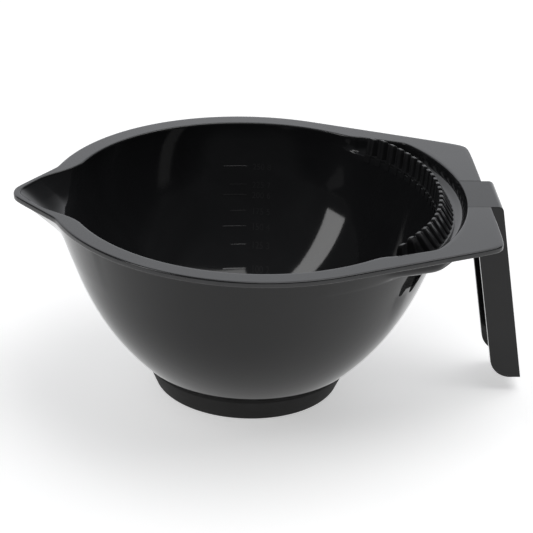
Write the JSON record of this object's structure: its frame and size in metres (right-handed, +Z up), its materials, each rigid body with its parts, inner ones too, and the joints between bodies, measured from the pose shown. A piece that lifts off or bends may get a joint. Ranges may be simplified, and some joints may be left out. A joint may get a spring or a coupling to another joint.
{
  "type": "hair color bowl",
  "caption": "Round mixing bowl with a pouring spout, a toothed brush comb in a sunken pocket, a hooked channel handle and a non-slip rubber base.",
  "frame": {"origin": "on the resting plane, under the axis of the round bowl", "axes": "+Z up along the bowl's axis, +X towards the handle, so the spout points to -X"},
  "size_m": [0.1766, 0.14, 0.0732],
  "materials": {
    "bowl_plastic": "satin outside and glossy inside, black",
    "comb_plastic": "glossy black",
    "handle_plastic": "satin black",
    "base_rubber": "matte black"
  },
  "bodies": {
    "root": {"bowl": "bowl_plastic", "brush_comb": "comb_plastic", "handle": "handle_plastic", "nonslip_base": "base_rubber"}
  },
  "joints": []
}
